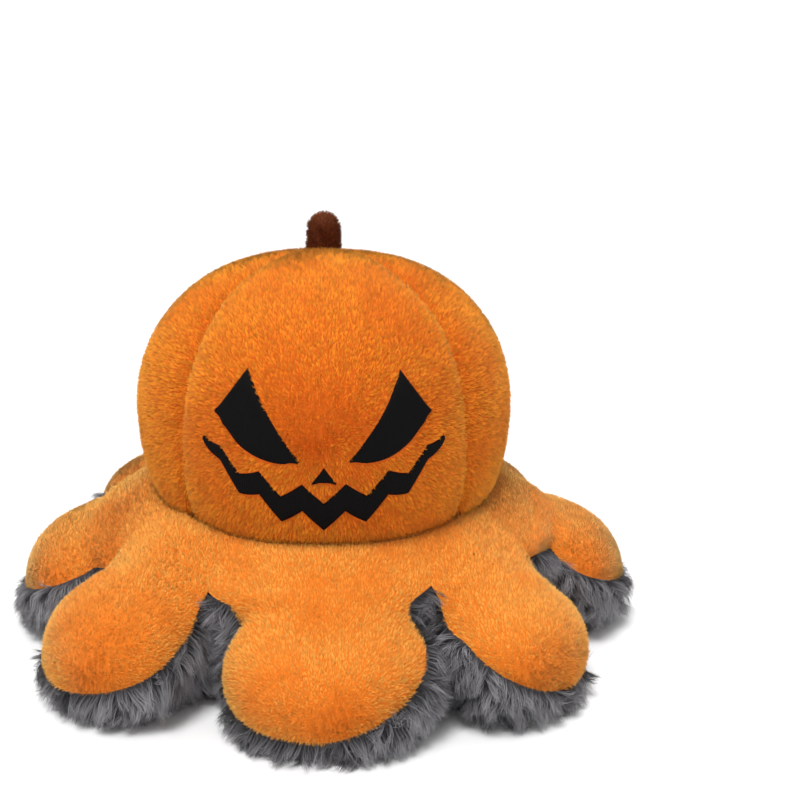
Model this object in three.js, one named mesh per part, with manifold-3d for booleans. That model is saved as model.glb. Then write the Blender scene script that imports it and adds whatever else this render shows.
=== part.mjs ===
// A reversible plush pumpkin. The head is a double-walled stuffed dome: a short-pile pumpkin skin of four
// sewn panels outside, and a long-pile spider skin of four panels turned into the hollow below. Eight
// stuffed legs hang from the neck seam, each a short-pile upper sewn to a long-pile sole over fibre filling.
import * as THREE from "three";
import { mergeVertices } from "three/addons/utils/BufferGeometryUtils.js";
import Module from "manifold-3d";

const wasm = await Module();
wasm.setup();

// Driving dimensions in millimetres and degrees. +Z is up, the face looks along -Y, the floor is z = 0.
const FABRIC = 2.2; // plush cloth with its pile pressed flat
const CLEARANCE = 0.3; // gap between pieces that are sewn together
const NECK_CLEARANCE = 0.6; // gap round the neck seam, where the legs fold
const STEM_CLEARANCE = 0.6; // gap round the stem's ball end
const STITCH_HEIGHT = 0.9; // how far satin stitching stands up
const STITCH_GAP = 0.5; // between a stitched patch and the short pile under it
const FUR_STITCH_GAP = 0.8; // the same over long pile

const HEAD_RADIUS = 57.6;
const HEAD_WAIST_HEIGHT = 68; // height of the head's widest ring
const HEAD_RISE = 48.5; // from the widest ring up to the crown
const HEAD_SQUARENESS = 2.4; // 2 is an ellipse, more is boxier
const FACE_PANEL_HALF_ANGLE = 50; // the back panel is cut the same
const NECK_HEIGHT = 46.5; // the seam that joins the legs to the head

const HOLLOW_RADIUS = 32; // the pocket that the toy is turned through
const HOLLOW_WAIST_HEIGHT = 32; // where the pocket starts to close
const HOLLOW_HEIGHT = 86; // floor to the pocket's end
const HOLLOW_POLE_RADIUS = 1.2; // where the four lining panels meet
const UNDERSIDE_RING_WIDTH = 10.5; // the ring round the pocket's mouth that stands on the floor

const LEG_NAMES = ["front", "front_right", "right", "back_right", "back", "back_left", "left", "front_left"];
const LEG_REACH = 101; // centre of the toy to a leg's tip
const LEG_BULB_RADIUS = 81; // where a leg is widest
const LEG_BULB_HALF_WIDTH = 29.5;
const LEG_TOP = 28; // height of the bulb's back above the floor
const LEG_SKIRT_RUN = 17; // run of the slope from the neck seam down to the bulb
const LEG_SEAM_ROOT = 27; // height of the upper-to-sole seam between two legs
const LEG_SEAM_TIP = 9; // height of that seam at the tip
const LEG_SEAM_BEND = 1.6; // 1 is a straight fall of that seam, more stays high for longer
const LEG_SIDE_MIN = 3; // least height of the upper's side above that seam
const LEG_ROOT_LIFT = 7; // how far the sole's root hangs clear of the floor
const LEG_GAP = 0.8; // between neighbouring legs at their roots
const LEG_DROOP = 10; // degrees that a leg can hang down from where it lies on the floor
const FLAT_CUT = 0.5; // depth of the flat that each sole stands on
const ROOT_FLATNESS = 14; // superellipse exponent of a leg's section at the neck, flat across to the next leg
const BULB_FLATNESS = 2.3; // the same at the bulb, nearly an ellipse

const STEM_RADIUS = 6.2;
const STEM_TIP_RADIUS = 5.4;
const STEM_MOUTH_RADIUS = 2; // the opening in the foot that it is stuffed through
const STEM_LENGTH = 12; // from its seat to its rounded top
const STEM_SETBACK = 24; // the stem and the panels' meeting point lie behind the crown
const STEM_LEAN = 8; // degrees that the stem leans back at rest
const STEM_SWAY = 15; // degrees that the stem can be tipped each way

// The stitched face. Widths are measured round the head from the middle of the face.
const STITCH_POINT = 0.6; // the blunt end of a stitched point
const MOUTH_ABOVE_NECK = 12.5;
const MOUTH_HALF_WIDTH = 37;
const MOUTH_CORNER_RISE = 18; // corners above the middle
const MOUTH_THICKNESS = 9.6;
const MOUTH_TOOTH = 2.9; // half the height of the zigzag
const MOUTH_TEETH = 6;
const EYE_ABOVE_MOUTH = 14;
const EYE_INNER = 7;
const EYE_PEAK = 25; // where the slanted brow edge is highest
const EYE_OUTER = 33;
const EYE_PEAK_RISE = 24; // above the inner corner
const EYE_OUTER_RISE = 12;
const EYE_SAG = 2.6; // how far the lower lid bows down
const NOSE_ABOVE_MOUTH = 5.6;
const NOSE_HALF_WIDTH = 3.6;
const NOSE_HEIGHT = 6;

// The spider's stitched eyes on the hollow's front wall: name, distance round the wall from the middle,
// height above the floor, half width and half height. Each is stitched on both sides of the middle.
const SPIDER_EYES = [
  { name: "large", along: 29, height: 21, halfWidth: 5.2, halfHeight: 7.4 },
  { name: "inner", along: 10, height: 29, halfWidth: 3.4, halfHeight: 5.2 },
  { name: "upper", along: 21, height: 45, halfWidth: 2.4, halfHeight: 5 },
  { name: "outer", along: 37, height: 35, halfWidth: 2.4, halfHeight: 3.2 },
];
const SMILE_HALF_WIDTH = 8;
const SMILE_HEIGHT = 8.5;
const SMILE_RISE = 3; // corners above the middle
const SMILE_THICKNESS = 1.6;

// Mesh density.
const PANEL_COLUMNS = 6;
const PANEL_ROWS = 4; // above and below the head's widest ring, each
const LINING_ROWS = 6;
const LEG_ROWS = 8;
const LEG_COLUMNS = 6;
const STEM_SEGMENTS = 12;
const ARC_STEPS = 3; // in each rounded end of the stem
const TOOTH_STEPS = 4;
const PATCH_COLUMNS = 8;
const PATCH_ROWS = 2;
const MERGE_DISTANCE = 1e-4;

const radians = THREE.MathUtils.degToRad;
const clamp01 = (x) => THREE.MathUtils.clamp(x, 0, 1);

// Materials.
const cloth = (color, roughness) => new THREE.MeshStandardMaterial({ color, roughness, metalness: 0 });
const ORANGE_PLUSH = cloth(0xf08a24, 0.9);
const GREY_FUR = cloth(0x6f7074, 0.95);
const BROWN_PLUSH = cloth(0x4a2414, 0.9);
const BLACK_THREAD = cloth(0x0c0b0d, 0.55);
const WHITE_FIBRE = cloth(0xf1f0ec, 1);

const toy = new THREE.Group();

function addPiece(parent, name, geometry, material) {
  const mesh = new THREE.Mesh(geometry, material);
  mesh.name = name;
  parent.add(mesh);
  return mesh;
}

// A closed geometry from triangles given as corner points: equal points become one, triangles that have
// shrunk to a line are left out, and the whole is turned so that its faces point out.
function closedGeometry(corners) {
  const loose = new THREE.BufferGeometry().setFromPoints(corners);
  const merged = mergeVertices(loose, MERGE_DISTANCE);
  const position = merged.getAttribute("position");
  const index = merged.getIndex().array;
  const kept = [];
  let volume = 0;
  const [a, b, c] = [new THREE.Vector3(), new THREE.Vector3(), new THREE.Vector3()];
  for (let i = 0; i < index.length; i += 3) {
    const [p, q, r] = [index[i], index[i + 1], index[i + 2]];
    if (p === q || q === r || r === p) continue;
    kept.push([p, q, r]);
    a.fromBufferAttribute(position, p);
    b.fromBufferAttribute(position, q);
    c.fromBufferAttribute(position, r);
    volume += a.dot(b.clone().cross(c));
  }
  merged.setIndex(kept.flatMap(([p, q, r]) => (volume < 0 ? [p, r, q] : [p, q, r])));
  merged.computeVertexNormals();
  return merged;
}

// The corner points of a grid's triangles, rows by columns.
function gridTriangles(grid, flip = false) {
  const corners = [];
  for (let i = 0; i + 1 < grid.length; i++) {
    for (let j = 0; j + 1 < grid[i].length; j++) {
      const [a, b, c, d] = [grid[i][j], grid[i][j + 1], grid[i + 1][j + 1], grid[i + 1][j]];
      corners.push(...(flip ? [a, c, b, a, d, c] : [a, b, c, a, c, d]));
    }
  }
  return corners;
}

// A sheet with thickness: an outer grid, an inner grid of the same size, and the rim between them.
function sheetGeometry(outer, inner) {
  const rim = (o, i) => gridTriangles([i, o]);
  const column = (grid, j) => grid.map((row) => row[j]);
  const [last, end] = [outer.length - 1, outer[0].length - 1];
  return closedGeometry([
    ...gridTriangles(outer),
    ...gridTriangles(inner, true),
    ...rim(outer[0], inner[0]),
    ...rim([...outer[last]].reverse(), [...inner[last]].reverse()),
    ...rim(column(outer, 0).reverse(), column(inner, 0).reverse()),
    ...rim(column(outer, end), column(inner, end)),
  ]);
}

// A solid from closed rings of points. The first and the last ring are filled across, from side to side.
function ringsGeometry(rings) {
  const closed = rings.map((ring) => [...ring, ring[0]]);
  const across = (ring) => {
    const half = (ring.length - 1) / 2;
    return [ring.slice(0, half + 1), [...ring].reverse().slice(0, half + 1)];
  };
  const first = gridTriangles(across(closed[0]));
  const last = gridTriangles(across(closed[closed.length - 1]), true);
  return closedGeometry([...first, ...gridTriangles(closed, true), ...last]);
}

const steps = (count, from, to) =>
  Array.from({ length: count + 1 }, (_, i) => THREE.MathUtils.lerp(from, to, i / count));

// A solid that can be cut, and the way back.
function solidOf(geometry) {
  const bare = new THREE.BufferGeometry().setAttribute("position", geometry.getAttribute("position").clone());
  if (geometry.index) bare.setIndex(geometry.index.clone());
  const merged = mergeVertices(bare, MERGE_DISTANCE);
  return new wasm.Manifold(
    new wasm.Mesh({
      numProp: 3,
      vertProperties: new Float32Array(merged.getAttribute("position").array),
      triVerts: new Uint32Array(merged.getIndex().array),
    }),
  );
}

function geometryOf(solid) {
  const mesh = solid.getMesh();
  const geometry = new THREE.BufferGeometry();
  geometry.setAttribute("position", new THREE.BufferAttribute(new Float32Array(mesh.vertProperties), 3));
  geometry.setIndex(new THREE.BufferAttribute(new Uint32Array(mesh.triVerts), 1));
  geometry.computeVertexNormals();
  return geometry;
}

// The head's profile, a superellipse about the z axis, drawn in by inset.
const superRadius = (share) => Math.max(0, 1 - Math.abs(share) ** HEAD_SQUARENESS) ** (1 / HEAD_SQUARENESS);
const headRadiusAt = (z, inset = 0) =>
  (HEAD_RADIUS - inset) * superRadius((z - HEAD_WAIST_HEIGHT) / (HEAD_RISE - inset));
const headHeightAt = (radius, inset = 0) =>
  HEAD_WAIST_HEIGHT + (HEAD_RISE - inset) * superRadius(radius / (HEAD_RADIUS - inset));
const NECK_RADIUS = headRadiusAt(NECK_HEIGHT);

// A point of the head at a height and an angle round from the face, standing off the cloth by lift.
function onHead(angle, z, lift) {
  const share = (z - HEAD_WAIST_HEIGHT) / HEAD_RISE;
  const radius = headRadiusAt(z);
  const outward = (radius / HEAD_RADIUS) ** (HEAD_SQUARENESS - 1) / HEAD_RADIUS;
  const upward = (Math.sign(share) * Math.abs(share) ** (HEAD_SQUARENESS - 1)) / HEAD_RISE;
  const length = Math.hypot(outward, upward);
  const r = radius + (lift * outward) / length;
  return new THREE.Vector3(r * Math.sin(angle), -r * Math.cos(angle), z + (lift * upward) / length);
}

// Head panels. Below the widest ring a panel's rows are level rings. Above it they are rings in plan that
// slide back as they shrink, so that the seams meet at the stem, behind the crown.
const PANEL_HOLE_RADIUS = STEM_RADIUS / Math.cos(radians(STEM_SWAY)) + CLEARANCE + STEM_CLEARANCE;
const PANEL_LEVELS = [...steps(PANEL_ROWS, -1, 0), ...steps(PANEL_ROWS, 0, 1).slice(1)];

// The points of one ring of the head at the given angles. Levels run from -1 at the neck seam over 0 at the
// widest ring to 1 at the stem's hole. Panel edges are drawn in by a margin for the seam.
function headRow(level, angles, inset, margin = 0) {
  const widest = HEAD_RADIUS - inset;
  const below = level < 0;
  const z = HEAD_WAIST_HEIGHT + level * (HEAD_WAIST_HEIGHT - NECK_HEIGHT);
  const turn = level * Math.acos(PANEL_HOLE_RADIUS / widest);
  const rho = below ? headRadiusAt(z, inset) : widest * Math.cos(turn);
  const back = below ? 0 : (STEM_SETBACK * (widest - rho)) / (widest - PANEL_HOLE_RADIUS);
  return angles(margin / rho).map((angle) => {
    const [x, y] = [rho * Math.sin(angle), back - rho * Math.cos(angle)];
    return new THREE.Vector3(x, y, below ? z : headHeightAt(Math.hypot(x, y), inset));
  });
}

const FACE_HALF = radians(FACE_PANEL_HALF_ANGLE);
const PANELS = [
  { side: "face", from: -FACE_HALF, to: FACE_HALF },
  { side: "right", from: FACE_HALF, to: Math.PI - FACE_HALF },
  { side: "back", from: Math.PI - FACE_HALF, to: Math.PI + FACE_HALF },
  { side: "left", from: Math.PI + FACE_HALF, to: 2 * Math.PI - FACE_HALF },
];
const panelAngles = ({ from, to }) => (margin) => steps(PANEL_COLUMNS, from + margin, to - margin);
const allAngles = () => PANELS.flatMap((panel) => panelAngles(panel)(0).slice(0, -1));
for (const panel of PANELS) {
  const angles = panelAngles(panel);
  const grid = (inset) => PANEL_LEVELS.map((level) => headRow(level, angles, inset, CLEARANCE / 2));
  addPiece(toy, `${panel.side}_panel`, sheetGeometry(grid(0), grid(FABRIC)), ORANGE_PLUSH);
}

// The hollow's profile: straight up from the mouth, then closing like an ellipse.
const liningRadiusAt = (z, offset) => {
  const share = Math.max(0, z - HOLLOW_WAIST_HEIGHT) / (HOLLOW_HEIGHT + offset - HOLLOW_WAIST_HEIGHT);
  return (HOLLOW_RADIUS + offset) * Math.sqrt(Math.max(0, 1 - share ** 2));
};
const LINING_FOOT = FABRIC + CLEARANCE;

function liningRows(angles, offset, margin = 0) {
  const radius = HOLLOW_RADIUS + offset;
  const rise = HOLLOW_HEIGHT + offset - HOLLOW_WAIST_HEIGHT;
  const wall = [LINING_FOOT, (LINING_FOOT + HOLLOW_WAIST_HEIGHT) / 2].map((z) => [radius, z]);
  const dome = steps(LINING_ROWS, 0, Math.acos(HOLLOW_POLE_RADIUS / radius)).map((turn) => [
    radius * Math.cos(turn),
    HOLLOW_WAIST_HEIGHT + rise * Math.sin(turn),
  ]);
  return [...wall, ...dome].map(([r, z]) =>
    angles(margin / r).map((angle) => new THREE.Vector3(r * Math.sin(angle), -r * Math.cos(angle), z)),
  );
}

for (const panel of PANELS) {
  const grid = (offset) => liningRows(panelAngles(panel), offset, CLEARANCE / 2);
  addPiece(toy, `lining_${panel.side}_panel`, sheetGeometry(grid(FABRIC), grid(0)), GREY_FUR);
}

// The long-pile underside: a ring round the hollow's mouth, which stands on the floor, and the leaning wall
// that goes up from it behind the legs to the neck seam.
const UNDERSIDE_RADIUS = HOLLOW_RADIUS + UNDERSIDE_RING_WIDTH;
const UNDERSIDE_TOP = NECK_HEIGHT - CLEARANCE;
const wallRadiusAt = (z, inset) =>
  THREE.MathUtils.lerp(UNDERSIDE_RADIUS, NECK_RADIUS, z / NECK_HEIGHT) - inset;
const undersideProfile = [
  [HOLLOW_RADIUS, 0],
  [UNDERSIDE_RADIUS, 0],
  [wallRadiusAt(UNDERSIDE_TOP, 0), UNDERSIDE_TOP],
  [wallRadiusAt(UNDERSIDE_TOP, FABRIC), UNDERSIDE_TOP],
  [wallRadiusAt(FABRIC, FABRIC), FABRIC],
  [HOLLOW_RADIUS, FABRIC],
  [HOLLOW_RADIUS, 0],
].map(([r, z]) => new THREE.Vector2(r, z));

// A solid of revolution. A lathe turns about y, so the result is stood up about z.
function latheGeometry(profile, segments) {
  const lathe = new THREE.LatheGeometry(profile, segments).rotateX(Math.PI / 2).toNonIndexed();
  const position = lathe.getAttribute("position");
  return closedGeometry(
    Array.from({ length: position.count }, (_, i) => new THREE.Vector3().fromBufferAttribute(position, i)),
  );
}
addPiece(toy, "underside", latheGeometry(undersideProfile, allAngles().length), GREY_FUR);

// The stem stands on a ball end in a dimple of the filling, where the four panels meet.
const STEM_SEAT = new THREE.Vector3(0, STEM_SETBACK, headHeightAt(STEM_SETBACK, FABRIC / 2));

// Fibre filling between the two skins of the head.
function headFilling() {
  const inset = FABRIC + CLEARANCE;
  const footRadius = wallRadiusAt(LINING_FOOT, inset);
  const foot = allAngles().map(
    (angle) => new THREE.Vector3(footRadius * Math.sin(angle), -footRadius * Math.cos(angle), LINING_FOOT),
  );
  const outside = PANEL_LEVELS.map((level) => headRow(level, allAngles, inset));
  const body = ringsGeometry([...liningRows(allAngles, inset).reverse(), foot, ...outside]);
  const ball = new THREE.SphereGeometry(STEM_RADIUS + STEM_CLEARANCE, STEM_SEGMENTS, STEM_SEGMENTS / 2);
  ball.translate(STEM_SEAT.x, STEM_SEAT.y, STEM_SEAT.z);
  return geometryOf(solidOf(body).subtract(solidOf(ball)));
}
addPiece(toy, "head_filling", headFilling(), WHITE_FIBRE);

// Stem: a stuffed tube of short-pile cloth with a round top and an open, ball-shaped foot.
const stem = new THREE.Group();
stem.position.copy(STEM_SEAT);
stem.rotation.x = -radians(STEM_LEAN);
toy.add(stem);

// Half of the stem's section, from the mouth in its foot up to the middle of its top.
function stemProfile(inset) {
  const foot = STEM_RADIUS - inset;
  const tip = STEM_TIP_RADIUS - inset;
  const point = (radius, turn, z) => new THREE.Vector2(radius * Math.cos(turn), z + radius * Math.sin(turn));
  const mouthTurn = -Math.acos(STEM_MOUTH_RADIUS / foot);
  const topStart = STEM_LENGTH - STEM_TIP_RADIUS;
  const bottom = steps(ARC_STEPS, mouthTurn, 0).map((turn) => point(foot, turn, 0));
  const top = steps(ARC_STEPS, 0, Math.PI / 2).map((turn) => point(tip, turn, topStart));
  top[top.length - 1].x = 0;
  return [...bottom, ...top];
}
const stemCover = [...stemProfile(0), ...stemProfile(FABRIC).reverse()];
stemCover.push(stemCover[0].clone());
addPiece(stem, "stem_cover", latheGeometry(stemCover, STEM_SEGMENTS), BROWN_PLUSH);
const stemCore = stemProfile(FABRIC + CLEARANCE);
const stemFilling = [new THREE.Vector2(0, stemCore[0].y), ...stemCore];
addPiece(stem, "stem_filling", latheGeometry(stemFilling, STEM_SEGMENTS), WHITE_FIBRE);

// A stitched patch: the cloth between a lower and an upper edge, both functions of the distance along,
// laid on a curved wall by place(along, height, lift).
function patchGeometry({ from, to, lower, upper, place, columns = PATCH_COLUMNS, gap = STITCH_GAP }) {
  const grid = (lift) =>
    steps(columns, from, to).map((along) =>
      steps(PATCH_ROWS, lower(along), upper(along)).map((height) => place(along, height, lift)),
    );
  return sheetGeometry(grid(gap + STITCH_HEIGHT), grid(gap));
}

// The carved-pumpkin face: a zigzag grin, two slanted eyes and a small nose.
const onFace = (along, height, lift) => onHead(along / HEAD_RADIUS, height, lift);
const MOUTH_HEIGHT = NECK_HEIGHT + MOUTH_ABOVE_NECK;

function mouthEdge(sign) {
  return (along) => {
    const share = along / MOUTH_HALF_WIDTH;
    const taper = Math.sqrt(Math.max(0, 1 - share ** 2));
    const tooth = (((share + 1) * MOUTH_TEETH) / 2 + 0.5) % 1;
    const zigzag = MOUTH_TOOTH * taper * (4 * Math.abs(tooth - 0.5) - 1);
    const half = Math.max(STITCH_POINT, MOUTH_THICKNESS * taper) / 2;
    return MOUTH_HEIGHT + MOUTH_CORNER_RISE * share ** 2 + zigzag + sign * half;
  };
}
const mouth = patchGeometry({
  from: -MOUTH_HALF_WIDTH,
  to: MOUTH_HALF_WIDTH,
  lower: mouthEdge(-1),
  upper: mouthEdge(1),
  place: onFace,
  columns: MOUTH_TEETH * TOOTH_STEPS,
});
addPiece(toy, "mouth", mouth, BLACK_THREAD);

const EYE_HEIGHT = MOUTH_HEIGHT + EYE_ABOVE_MOUTH;

function eyeUpper(along) {
  const rising = (along - EYE_INNER) / (EYE_PEAK - EYE_INNER);
  const falling = (along - EYE_PEAK) / (EYE_OUTER - EYE_PEAK);
  const rise =
    along < EYE_PEAK
      ? THREE.MathUtils.lerp(STITCH_POINT, EYE_PEAK_RISE, rising)
      : THREE.MathUtils.lerp(EYE_PEAK_RISE, EYE_OUTER_RISE + STITCH_POINT, falling);
  return EYE_HEIGHT + rise;
}

function eyeLower(along) {
  const share = (along - EYE_INNER) / (EYE_OUTER - EYE_INNER);
  return EYE_HEIGHT + EYE_OUTER_RISE * share ** 2 - EYE_SAG * Math.sin(Math.PI * share);
}

const SIDES = [
  { side: "left", sign: -1 },
  { side: "right", sign: 1 },
];
for (const { side, sign } of SIDES) {
  const eye = patchGeometry({
    from: EYE_INNER,
    to: EYE_OUTER,
    lower: eyeLower,
    upper: eyeUpper,
    place: (along, height, lift) => onFace(sign * along, height, lift),
  });
  addPiece(toy, `${side}_eye`, eye, BLACK_THREAD);
}

const NOSE_FOOT = mouthEdge(1)(0) + NOSE_ABOVE_MOUTH;
const nose = patchGeometry({
  from: -NOSE_HALF_WIDTH,
  to: NOSE_HALF_WIDTH,
  lower: () => NOSE_FOOT,
  upper: (along) => NOSE_FOOT + Math.max(STITCH_POINT, NOSE_HEIGHT * (1 - Math.abs(along) / NOSE_HALF_WIDTH)),
  place: onFace,
});
addPiece(toy, "nose", nose, BLACK_THREAD);

// The spider face, stitched on the lining and turned into the hollow.
function inHollow(along, height, lift) {
  const angle = along / HOLLOW_RADIUS;
  const radius = liningRadiusAt(height, 0) - lift;
  return new THREE.Vector3(radius * Math.sin(angle), -radius * Math.cos(angle), height);
}

for (const { side, sign } of SIDES) {
  for (const { name, along: middle, height, halfWidth, halfHeight } of SPIDER_EYES) {
    const bow = (along) => {
      const share = (along - middle) / halfWidth;
      return Math.max(STITCH_POINT / 2, halfHeight * Math.sqrt(Math.max(0, 1 - share ** 2)));
    };
    const eye = patchGeometry({
      from: middle - halfWidth,
      to: middle + halfWidth,
      lower: (along) => height - bow(along),
      upper: (along) => height + bow(along),
      place: (along, z, lift) => inHollow(sign * along, z, lift),
      gap: FUR_STITCH_GAP,
    });
    addPiece(toy, `spider_${name}_eye_${side}`, eye, BLACK_THREAD);
  }
}

const smileAt = (along) => SMILE_HEIGHT + SMILE_RISE * (along / SMILE_HALF_WIDTH) ** 2;
const smile = patchGeometry({
  from: -SMILE_HALF_WIDTH,
  to: SMILE_HALF_WIDTH,
  lower: (along) => smileAt(along) - SMILE_THICKNESS / 2,
  upper: (along) => smileAt(along) + SMILE_THICKNESS / 2,
  place: inHollow,
  gap: FUR_STITCH_GAP,
});
addPiece(toy, "spider_smile", smile, BLACK_THREAD);

// Legs. A leg is drawn pointing along -Y in arcs about the toy's middle: run is the distance out from the
// neck seam. Its section is two half superellipses that meet at the seam between upper and sole.
const LEG_ROOT_RADIUS = NECK_RADIUS + NECK_CLEARANCE;
const LEG_LENGTH = LEG_REACH - LEG_ROOT_RADIUS;
const LEG_BULB_RUN = LEG_BULB_RADIUS - LEG_ROOT_RADIUS;
const LEG_HALF_ANGLE = Math.PI / LEG_NAMES.length;

// How far a section at this run has closed towards the tip: 1 up to the bulb, 0 at the tip.
function legClosing(run, inset) {
  const share = clamp01((run - LEG_BULB_RUN) / (LEG_LENGTH - inset - LEG_BULB_RUN));
  return Math.sqrt(Math.max(0, 1 - share ** 2));
}

function legSection(run, inset) {
  const radius = LEG_ROOT_RADIUS + run;
  const closing = legClosing(run, inset);
  const towardsBulb = THREE.MathUtils.smoothstep(run, LEG_BULB_RUN / 3, LEG_BULB_RUN);
  const wedge = radius * Math.sin(LEG_HALF_ANGLE) - LEG_GAP / 2;
  const slope = (1 - clamp01(run / LEG_SKIRT_RUN)) ** 2;
  const top = THREE.MathUtils.lerp(LEG_TOP, NECK_HEIGHT - NECK_CLEARANCE, slope);
  const bottom = LEG_ROOT_LIFT * slope - FLAT_CUT;
  const fall = clamp01(run / LEG_LENGTH) ** LEG_SEAM_BEND;
  const seam = Math.min(THREE.MathUtils.lerp(LEG_SEAM_ROOT, LEG_SEAM_TIP, fall), top - LEG_SIDE_MIN);
  return {
    radius,
    seam,
    flatness: THREE.MathUtils.lerp(ROOT_FLATNESS, BULB_FLATNESS, towardsBulb),
    halfWidth: (Math.min(wedge, LEG_BULB_HALF_WIDTH) - inset) * closing,
    rise: (top - inset - seam) * closing,
    drop: (seam - bottom - inset) * closing,
    floor: inset,
  };
}

// How far a leg may reach to each side at a distance out and a height, so that it stays clear of the next leg
// when both lie on the floor and when both droop.
function sideLimits(out, height, inset) {
  const droop = radians(LEG_DROOP);
  const swung = (out - LEG_ROOT_RADIUS) * Math.cos(droop) - (NECK_HEIGHT - height) * Math.sin(droop);
  const nearest = Math.min(out, LEG_ROOT_RADIUS + swung);
  const limit = Math.tan(LEG_HALF_ANGLE) * nearest - LEG_GAP / 2 / Math.cos(LEG_HALF_ANGLE) - inset;
  return [-limit, limit];
}

// A point of the section, from turn 0 at one side seam to half a turn at the other.
// Upper halves have sign 1 and soles -1, and lift parts the two at their seam.
function legPoint(run, turn, sign, inset, lift) {
  const { radius, seam, flatness, halfWidth, rise, drop, floor } = legSection(run, inset);
  const power = 2 / flatness;
  const across = halfWidth * Math.sign(Math.cos(turn)) * Math.abs(Math.cos(turn)) ** power;
  const bulge = Math.abs(Math.sin(turn)) ** power;
  const height = sign > 0 ? seam + lift + rise * bulge : Math.max(floor, seam - lift - drop * bulge);
  const x = THREE.MathUtils.clamp(across, ...sideLimits(Math.sqrt(radius ** 2 - across ** 2), height, inset));
  return new THREE.Vector3(x, -Math.sqrt(radius ** 2 - x ** 2), height);
}

// Rows from the root to the tip, closer together where the tip rounds off.
function legRuns(inset) {
  const straight = steps(LEG_ROWS / 2, 0, LEG_BULB_RUN);
  const rounding = steps(LEG_ROWS / 2, 0, Math.PI / 2).slice(1);
  const last = LEG_LENGTH - inset - LEG_BULB_RUN;
  return [...straight, ...rounding.map((turn) => LEG_BULB_RUN + last * Math.sin(turn))];
}

// One row of an upper goes over the leg from side to side, and one of a sole comes back under it.
const legRow = (run, sign, inset, lift) => {
  const turns = sign > 0 ? steps(LEG_COLUMNS, 0, Math.PI) : steps(LEG_COLUMNS, Math.PI, 0);
  return turns.map((turn) => legPoint(run, turn, sign, inset, lift));
};
const legHalf = (sign, inset) => legRuns(inset).map((run) => legRow(run, sign, inset, CLEARANCE / 2));

function legFilling() {
  const inset = FABRIC + CLEARANCE;
  return ringsGeometry(
    legRuns(inset).map((run) => [...legRow(run, 1, inset, 0), ...legRow(run, -1, inset, 0).slice(1, -1)]),
  );
}

const upperGeometry = sheetGeometry(legHalf(1, 0), legHalf(1, FABRIC));
const soleGeometry = sheetGeometry(legHalf(-1, 0), legHalf(-1, FABRIC));
const fillingGeometry = legFilling();
LEG_NAMES.forEach((name, place) => {
  const leg = new THREE.Group();
  leg.rotation.z = place * 2 * LEG_HALF_ANGLE;
  toy.add(leg);
  addPiece(leg, `${name}_leg_upper`, upperGeometry, ORANGE_PLUSH);
  addPiece(leg, `${name}_leg_sole`, soleGeometry, GREY_FUR);
  addPiece(leg, `${name}_leg_filling`, fillingGeometry, WHITE_FIBRE);
});

export default toy;
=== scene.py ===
import math

import bmesh
import bpy
import numpy as np
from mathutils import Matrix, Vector


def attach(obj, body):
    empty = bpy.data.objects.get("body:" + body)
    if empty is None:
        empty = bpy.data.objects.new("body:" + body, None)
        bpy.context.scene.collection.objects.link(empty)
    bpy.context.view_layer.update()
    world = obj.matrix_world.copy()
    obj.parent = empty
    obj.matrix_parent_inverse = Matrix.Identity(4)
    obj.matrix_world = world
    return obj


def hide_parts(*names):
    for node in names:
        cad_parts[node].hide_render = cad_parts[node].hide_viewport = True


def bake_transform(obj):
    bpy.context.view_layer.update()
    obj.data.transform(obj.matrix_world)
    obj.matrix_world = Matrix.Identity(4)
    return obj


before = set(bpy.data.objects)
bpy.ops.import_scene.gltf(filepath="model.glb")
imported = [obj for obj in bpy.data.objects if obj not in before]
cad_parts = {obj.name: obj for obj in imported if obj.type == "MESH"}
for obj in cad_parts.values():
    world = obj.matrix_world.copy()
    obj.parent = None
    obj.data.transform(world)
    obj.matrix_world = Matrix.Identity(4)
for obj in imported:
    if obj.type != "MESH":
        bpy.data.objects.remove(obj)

MM = 0.001
scene = bpy.context.scene
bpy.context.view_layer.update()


# Face. The face is stitched while the front panel is still flat: a zigzag grin, two slanted eyes and a small
# nose in black satin stitch. Threads lie side by side across each shape and stand about a millimetre high.
HEAD_RADIUS, HEAD_WAIST, HEAD_RISE, HEAD_SQUARENESS = 56.8, 68.0, 49.3, 2.4
NECK_HEIGHT = 46.5
MOUTH_HALF_WIDTH, MOUTH_HEIGHT, MOUTH_RISE = 37.0, 59.0, 18.0
MOUTH_THICKNESS, MOUTH_TOOTH, MOUTH_TEETH = 9.6, 2.9, 6
EYE_INNER, EYE_PEAK, EYE_OUTER = 7.0, 25.0, 33.0
EYE_HEIGHT, EYE_PEAK_RISE, EYE_OUTER_RISE, EYE_SAG = 73.0, 24.0, 12.0, 2.6
NOSE_FOOT, NOSE_HALF_WIDTH, NOSE_HEIGHT = 66.5, 3.6, 6.0
STITCH_LIFT, STITCH_SUNK, STITCH_POINT = 0.7, -1.4, 0.6  # height of the threads and of their ends, least width
STITCH_RIM, STITCH_RIM_SHARE = 0.8, 0.2  # how far in from the edge a thread is up, the second in narrow places
STITCH_BACKING, STITCH_ROWS = 0.3, 10
THREAD, THREAD_RELIEF, THREAD_COLUMNS = 0.62, 0.16, 4  # from one thread to the next, its roundness


def linear(red, green, blue):
    """A colour given as a screen shows it, 0 to 255, as the linear values that a shader takes."""
    shares = (value / 255 for value in (red, green, blue))
    return (*(s / 12.92 if s < 0.04045 else ((s + 0.055) / 1.055) ** 2.4 for s in shares), 1)


def head_radius(z, inset):
    share = np.clip(np.abs(z - HEAD_WAIST) / (HEAD_RISE - inset), 0, 1)
    return (HEAD_RADIUS - inset) * (1 - share**HEAD_SQUARENESS) ** (1 / HEAD_SQUARENESS)


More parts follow.
